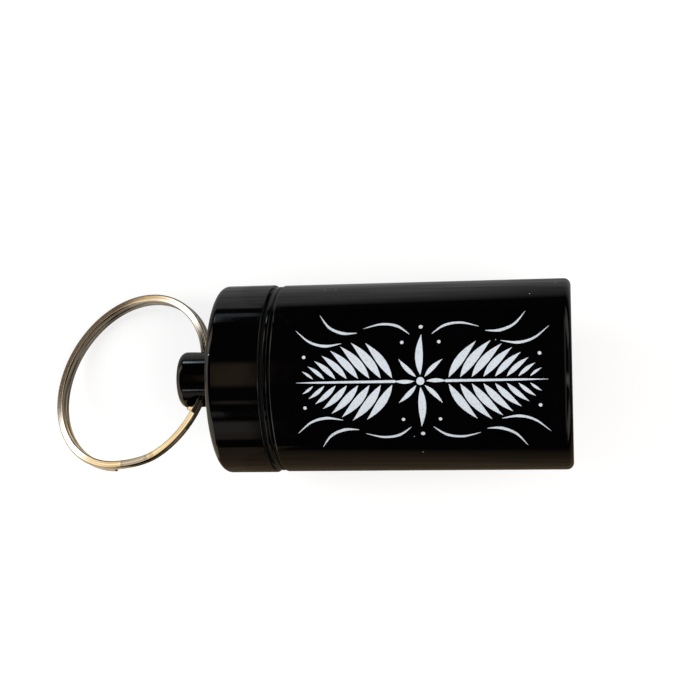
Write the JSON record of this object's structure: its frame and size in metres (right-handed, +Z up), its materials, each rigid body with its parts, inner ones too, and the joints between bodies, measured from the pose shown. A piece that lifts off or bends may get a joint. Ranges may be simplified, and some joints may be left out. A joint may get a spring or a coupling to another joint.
{
  "type": "keychain case",
  "caption": "Small round metal canister with a screw cap, a rubber sealing ring, a cross-drilled lug on the cap and a split ring through the lug.",
  "frame": {"origin": "On the surface that the case lies on, below the middle of its bounding box; the case's round axis lies 12.5 mm above it, parallel to X.", "axes": "+X runs along the case's axis, from the cap and its ring towards the canister's closed base; +Z is up, away from the surface; +Y is across the case."},
  "size_m": [0.073, 0.025, 0.025],
  "materials": {
    "anodised": "turned, gloss black anodised",
    "rubber": "matte black moulded rubber",
    "nickel": "bright nickel-plated spring steel"
  },
  "bodies": {
    "canister": {"canister": "anodised"},
    "seal": {"seal_ring": "rubber"},
    "cap": {"cap": "anodised"},
    "ring": {"split_ring": "nickel"}
  },
  "joints": [
    {"name": "cap_turn", "type": "hinge", "parent": "canister", "child": "seal", "pos_m": [-0.00221, 0, 0.0125], "axis": [-1, 0, 0], "range_deg": [0, 1296]},
    {"name": "cap_lift", "type": "slide", "parent": "seal", "child": "cap", "axis": [-1, 0, 0], "range_m": [0, 0.00541]},
    {"name": "ring_swing", "type": "hinge", "parent": "cap", "child": "ring", "pos_m": [-0.01259, 0, 0.0125], "axis": [0, -0.9135, 0.4067], "range_deg": [-125.7, 84.3]}
  ],
  "couplings": [
    {"joint": "cap_lift", "follows": "cap_turn", "m_per_rad": 0.00023873}
  ]
}
